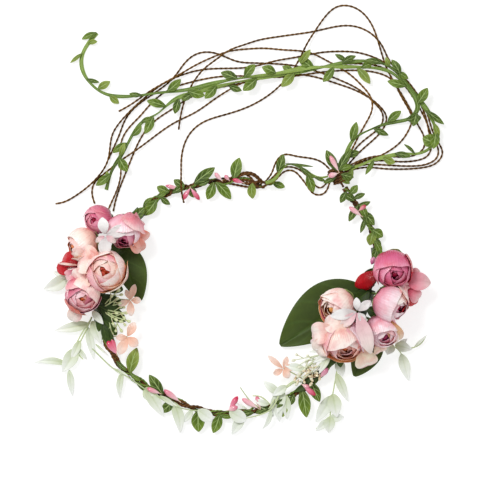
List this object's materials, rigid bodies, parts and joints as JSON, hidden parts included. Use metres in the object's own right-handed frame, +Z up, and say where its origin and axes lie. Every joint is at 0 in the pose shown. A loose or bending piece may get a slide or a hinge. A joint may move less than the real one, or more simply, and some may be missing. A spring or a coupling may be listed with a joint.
{
  "type": "flower crown",
  "caption": "Flower crown: a vine-wrapped wire hoop with cloth rose clusters, leaf trims, pips and plastic sprigs, closed by long trailing paper ties.",
  "frame": {"origin": "centre of the crown without its free cords, on the table that it lies on", "axes": "+Z up from the table, out of the crown's top as it is worn; -Y towards the wearer's forehead, +Y towards the tie at the back; +X to the right seen from above with the tie at the top"},
  "size_m": [0.2646, 0.2778, 0.0374],
  "materials": {
    "wire": "satin",
    "vine": "matte",
    "tape": "matte",
    "trim": "matte",
    "pip": "satin",
    "large_leaf": "satin",
    "sprig": "satin",
    "floret": "matte",
    "blossom": "matte",
    "rose": "matte"
  },
  "bodies": {
    "crown": {"tie_cord_1": "vine", "tie_cord_2": "vine", "tie_cord_3": "vine", "tie_cord_4": "vine", "tie_cord_5": "vine", "tie_cord_6": "vine", "tie_cord_7": "vine", "tie_cord_8": "vine", "bridge_cord_low": "vine", "bridge_cord_middle": "vine", "bridge_cord_high": "vine", "vine_wrap": "vine", "closure_knot": "vine", "leaf_ribbon_short": "trim", "leaf_ribbon_long": "trim", "bridge_ribbon": "trim", "leaf_trim_back": "trim", "leaf_trim_front": "trim", "leaf_trim_front_right": "trim", "leaf_trim_right": "trim", "leaf_trim_knot": "trim", "cluster_tape_left": "tape", "cluster_tape_right": "tape", "end_tape_left": "tape", "end_tape_right": "tape", "hoop_wire": "wire", "pips_back_left": "pip", "pips_back_middle": "pip", "pips_left": "pip", "pips_front_left": "pip", "pips_front_middle": "pip", "pips_front_right": "pip", "pips_right": "pip", "rose_left_mauve_bud": "rose", "rose_left_pink_open": "rose", "rose_left_cream_bud": "rose", "rose_left_peach_main": "rose", "rose_left_mauve_spiral": "rose", "rose_left_red_bud": "rose", "rose_right_magenta": "rose", "rose_right_pink_pointed": "rose", "rose_right_lilac_upper": "rose", "rose_right_cream_wide": "rose", "rose_right_peach_long": "rose", "rose_right_lilac_lower": "rose", "large_leaf_left": "large_leaf", "large_leaf_right_inner": "large_leaf", "large_leaf_right_outer": "large_leaf", "blossom_left": "blossom", "blossom_right": "blossom", "floret_left_upper": "floret", "floret_left_lower": "floret", "floret_right": "floret", "sprig_left_short": "sprig", "sprig_right_outer": "sprig", "sprig_front_right": "sprig", "spray_left": "sprig", "spray_right": "sprig"},
    "left_sprig": {"sprig_left_long": "sprig"},
    "right_sprig": {"sprig_right_hanging": "sprig"}
  },
  "joints": [
    {"name": "left_sprig_bend", "type": "hinge", "parent": "crown", "child": "left_sprig", "pos_m": [-0.0903, -0.0155, 0.0034], "axis": [0, 0, 1], "range_deg": [-12, 12]},
    {"name": "right_sprig_bend", "type": "hinge", "parent": "crown", "child": "right_sprig", "pos_m": [0.0695, -0.043, 0.004], "axis": [0, 0, 1], "range_deg": [-12, 12]}
  ]
}
